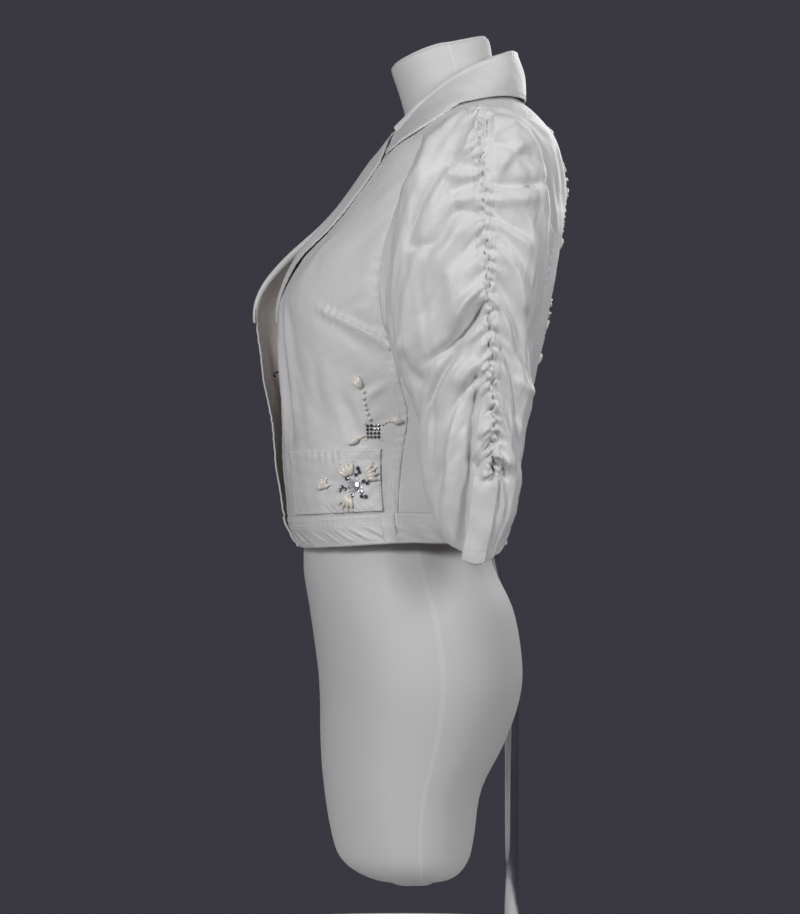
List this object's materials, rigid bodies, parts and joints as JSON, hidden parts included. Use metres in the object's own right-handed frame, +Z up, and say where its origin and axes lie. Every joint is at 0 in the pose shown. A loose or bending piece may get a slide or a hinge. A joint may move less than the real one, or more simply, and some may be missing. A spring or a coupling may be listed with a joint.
{
  "type": "cropped blazer on a limbless dress form",
  "caption": "Cropped cotton blazer with notched lapels, turned collar, ruched elbow sleeves, patch pockets and a waistband, worn by a smooth limbless dress form on a pole stand.",
  "frame": {"origin": "centre of the underside of the base plate's disc measured at the pole's own X, on the floor, 38 mm in front of the disc's centre", "axes": "+Z up; the wearer faces -Y; +X towards the wearer's left"},
  "size_m": [0.5122, 0.3713, 1.021],
  "materials": {
    "cotton": "white cotton sateen twill",
    "pearl": "imitation pearl and cut glass stones",
    "form_plastic": "smooth moulded, satin",
    "stand_chrome": "polished",
    "base_steel": "brushed",
    "hook_metal": "dark lacquered wire"
  },
  "bodies": {
    "root": {"left_front": "cotton", "right_front": "cotton", "left_side_panel": "cotton", "right_side_panel": "cotton", "back": "cotton", "left_waistband": "cotton", "right_waistband": "cotton", "back_waistband": "cotton", "left_side_tab": "cotton", "right_side_tab": "cotton", "left_pocket": "cotton", "right_pocket": "cotton", "left_lapel": "cotton", "right_lapel": "cotton", "collar": "cotton", "left_sleeve_front": "cotton", "left_sleeve_back": "cotton", "left_sleeve_ruching": "cotton", "left_sleeve_vent_tab": "cotton", "right_sleeve_front": "cotton", "right_sleeve_back": "cotton", "right_sleeve_ruching": "cotton", "right_sleeve_vent_tab": "cotton", "left_pocket_beads": "pearl", "right_pocket_beads": "pearl", "back_upper_beads": "pearl", "back_lower_beads": "pearl", "dress_form": "form_plastic", "stand_base": "base_steel", "stand_pole": "stand_chrome", "stand_rod": "stand_chrome", "stand_plate": "stand_chrome", "front_hook": "hook_metal"}
  },
  "joints": []
}
